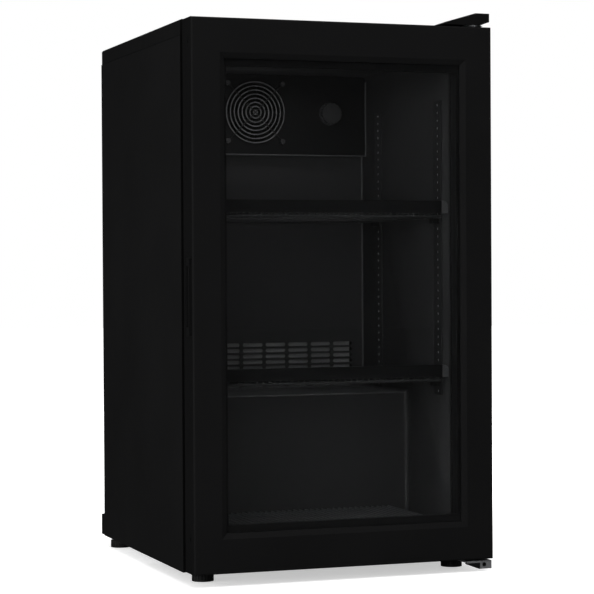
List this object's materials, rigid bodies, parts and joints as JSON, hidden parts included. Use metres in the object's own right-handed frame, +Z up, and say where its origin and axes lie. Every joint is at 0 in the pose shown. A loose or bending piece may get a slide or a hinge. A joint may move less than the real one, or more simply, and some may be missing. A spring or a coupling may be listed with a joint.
{
  "type": "glass door merchandiser",
  "caption": "Countertop cooled display cabinet with a hinged double-glazed door, recessed edge grip, wire shelves with price rails, guarded fan and thermostat knob.",
  "frame": {"origin": "on the floor, centred under the outer box of the door, cabinet and rear spacers", "axes": "+X to the viewer's right facing the door, +Y to the back, +Z up"},
  "size_m": [0.5, 0.564, 0.891],
  "materials": {
    "coated_steel": "black powder coat, fine texture, satin",
    "door_shell": "moulded black plastic, satin, fine grain",
    "black_plastic": "moulded black plastic",
    "liner": "formed dark liner, semi-gloss",
    "duct_plate": "dark painted sheet",
    "foam": "rigid polyurethane foam",
    "white_foam": "moulded white foam and pale strips",
    "zinc": "zinc-plated steel",
    "steel": "plain steel",
    "alloy": "mill-finish aluminium fins and spacer",
    "copper": "drawn copper tube, slightly dull",
    "rubber": "soft black rubber",
    "glass": "clear toughened glass",
    "wire_coat": "black plastic-coated wire"
  },
  "bodies": {
    "cabinet": {"left_side_panel": "coated_steel", "right_side_panel": "coated_steel", "rear_panel": "coated_steel", "top_cover": "door_shell", "base_pan": "coated_steel", "bay_panel": "zinc", "insulation_left": "foam", "insulation_right": "foam", "insulation_top": "foam", "insulation_rear": "foam", "insulation_floor": "foam", "inner_liner": "liner", "breaker_frame": "black_plastic", "duct_panel": "duct_plate", "duct_insert": "white_foam", "fan_panel": "black_plastic", "panel_screws": "zinc", "evaporator_coil": "alloy", "evaporator_fan_frame": "black_plastic", "fan_guard": "zinc", "fan_shafts": "steel", "thermostat_body": "black_plastic", "pilasters": "duct_plate", "pilaster_strips": "white_foam", "shelf_clips": "zinc", "bay_base_plate": "zinc", "compressor": "coated_steel", "compressor_grommets": "rubber", "compressor_bolts": "zinc", "condenser_coil": "coated_steel", "condenser_fan_frame": "black_plastic", "refrigerant_lines": "copper", "drip_tray": "black_plastic", "rear_grille": "coated_steel", "inlet_gland": "rubber", "rear_spacers": "black_plastic", "top_hinge_plate": "zinc", "hinge_cap": "black_plastic", "bottom_hinge_bracket": "zinc", "hinge_foot_cover": "black_plastic", "hinge_pins": "steel"},
    "door": {"door_frame": "door_shell", "door_core": "foam", "door_inner_frame": "black_plastic", "glass_panes": "glass", "glass_spacer": "alloy", "door_gasket": "rubber", "door_fittings": "black_plastic"},
    "evaporator_fan": {"evaporator_fan_rotor": "black_plastic"},
    "condenser_fan": {"condenser_fan_rotor": "alloy"},
    "thermostat": {"thermostat_knob": "black_plastic"},
    "shelf_upper": {"upper_shelf": "wire_coat", "upper_price_rail": "black_plastic"},
    "shelf_lower": {"lower_shelf": "wire_coat", "lower_price_rail": "black_plastic"},
    "rack": {"floor_rack": "wire_coat"},
    "foot_fl": {"foot_front_left": "rubber"},
    "foot_fr": {"foot_front_right": "rubber"},
    "foot_rl": {"foot_rear_left": "rubber"},
    "foot_rr": {"foot_rear_right": "rubber"}
  },
  "joints": [
    {"name": "door_swing", "type": "hinge", "parent": "cabinet", "child": "door", "pos_m": [0.232, -0.259, 0.4445], "axis": [0, 0, 1], "range_deg": [0, 120]},
    {"name": "evaporator_fan_spin", "type": "hinge", "parent": "cabinet", "child": "evaporator_fan", "pos_m": [0, 0.169, 0.761], "axis": [0, 1, 0], "continuous": true},
    {"name": "condenser_fan_spin", "type": "hinge", "parent": "cabinet", "child": "condenser_fan", "pos_m": [-0.13, 0.18, 0.128], "axis": [0, 1, 0], "continuous": true},
    {"name": "thermostat_turn", "type": "hinge", "parent": "cabinet", "child": "thermostat", "pos_m": [0.14, 0.15, 0.761], "axis": [0, -1, 0], "range_deg": [0, 300]},
    {"name": "upper_shelf_lift", "type": "slide", "parent": "cabinet", "child": "shelf_upper", "axis": [0, 0, 1], "range_m": [0, 0.025]},
    {"name": "lower_shelf_lift", "type": "slide", "parent": "cabinet", "child": "shelf_lower", "axis": [0, 0, 1], "range_m": [0, 0.025]},
    {"name": "floor_rack_lift", "type": "slide", "parent": "cabinet", "child": "rack", "axis": [0, 0, 1], "range_m": [0, 0.06]},
    {"name": "foot_fl_level", "type": "slide", "parent": "cabinet", "child": "foot_fl", "axis": [0, 0, -1], "range_m": [0, 0.01]},
    {"name": "foot_fr_level", "type": "slide", "parent": "cabinet", "child": "foot_fr", "axis": [0, 0, -1], "range_m": [0, 0.01]},
    {"name": "foot_rl_level", "type": "slide", "parent": "cabinet", "child": "foot_rl", "axis": [0, 0, -1], "range_m": [0, 0.01]},
    {"name": "foot_rr_level", "type": "slide", "parent": "cabinet", "child": "foot_rr", "axis": [0, 0, -1], "range_m": [0, 0.01]}
  ]
}
